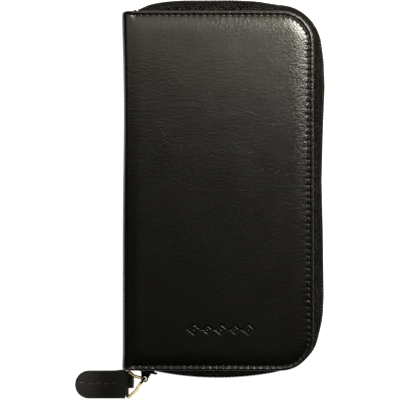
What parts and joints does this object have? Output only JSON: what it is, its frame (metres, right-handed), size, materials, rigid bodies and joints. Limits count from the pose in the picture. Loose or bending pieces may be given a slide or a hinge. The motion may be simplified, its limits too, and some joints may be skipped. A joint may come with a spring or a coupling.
{
  "type": "zip-around fountain pen case",
  "caption": "Slim zip-around leather case that opens like a book, with elastic loops for fountain pens, a divider flap, flat pockets and a leather zip pull.",
  "frame": {"origin": "middle of the back cover's outer face, which the case rests on", "axes": "+X from the spine to the zip side, +Y up the long side of the case, +Z out of the front cover"},
  "size_m": [0.1219, 0.1949, 0.03],
  "materials": {
    "cover_leather": "smooth, semi-gloss",
    "inner_leather": "smooth, satin",
    "suede": "brushed suede cloth",
    "board": "stiff fibre board",
    "foam": "thin foam",
    "zip_tape": "woven, matt",
    "zip_coil": "nylon coil",
    "elastic": "ribbed elastic webbing",
    "gunmetal": "dark plated metal",
    "brass": "pale gold plate, polished"
  },
  "bodies": {
    "back_half": {"back_cover_leather": "cover_leather", "back_cover_padding": "foam", "back_cover_board": "board", "back_lining": "suede", "back_welt": "inner_leather", "back_zip_tape": "zip_tape", "back_zip_coil": "zip_coil", "back_zip_stops": "gunmetal", "pen_panel": "suede", "pen_loops_upper": "elastic", "pen_loops_lower": "elastic"},
    "spine": {"spine_leather": "cover_leather", "spine_board": "board", "spine_lining": "suede"},
    "front_half": {"front_cover_leather": "cover_leather", "front_cover_padding": "foam", "front_cover_board": "board", "front_lining": "suede", "front_welt": "inner_leather", "front_zip_tape": "zip_tape", "front_zip_coil": "zip_coil", "front_zip_stops": "gunmetal", "front_pocket_large": "inner_leather", "front_pocket_small": "inner_leather"},
    "divider": {"divider_flap": "suede", "divider_binding": "inner_leather"},
    "slider": {"slider_body": "gunmetal", "slider_crown": "gunmetal"},
    "ring": {"pull_ring": "brass"},
    "tab": {"pull_tab": "cover_leather"}
  },
  "joints": [
    {"name": "back_crease", "type": "hinge", "parent": "back_half", "child": "spine", "pos_m": [-0.04575, 0, 0.00075], "axis": [0, -1, 0], "range_deg": [0, 90]},
    {"name": "front_crease", "type": "hinge", "parent": "spine", "child": "front_half", "pos_m": [-0.04575, 0, 0.02925], "axis": [0, -1, 0], "range_deg": [0, 90]},
    {"name": "divider_turn", "type": "hinge", "parent": "spine", "child": "divider", "pos_m": [-0.0439, 0, 0.0201], "axis": [0, 1, 0], "range_deg": [0, 36]},
    {"name": "zip_travel", "type": "hinge", "parent": "back_half", "child": "slider", "pos_m": [0, 0.0586, 0.015], "axis": [0, 0, 1], "range_deg": [0, 24]},
    {"name": "ring_swing", "type": "hinge", "parent": "slider", "child": "ring", "pos_m": [-0.03583, -0.09179, 0.015], "axis": [0, 0, 1], "range_deg": [0, 100]},
    {"name": "tab_fold", "type": "hinge", "parent": "ring", "child": "tab", "pos_m": [-0.0443, -0.0946, 0.0023], "axis": [0, 1, 0], "range_deg": [0, 90]}
  ],
  "couplings": [
    {"joint": "front_crease", "follows": "back_crease", "ratio": 1},
    {"joint": "divider_turn", "follows": "back_crease", "ratio": 0.35}
  ]
}
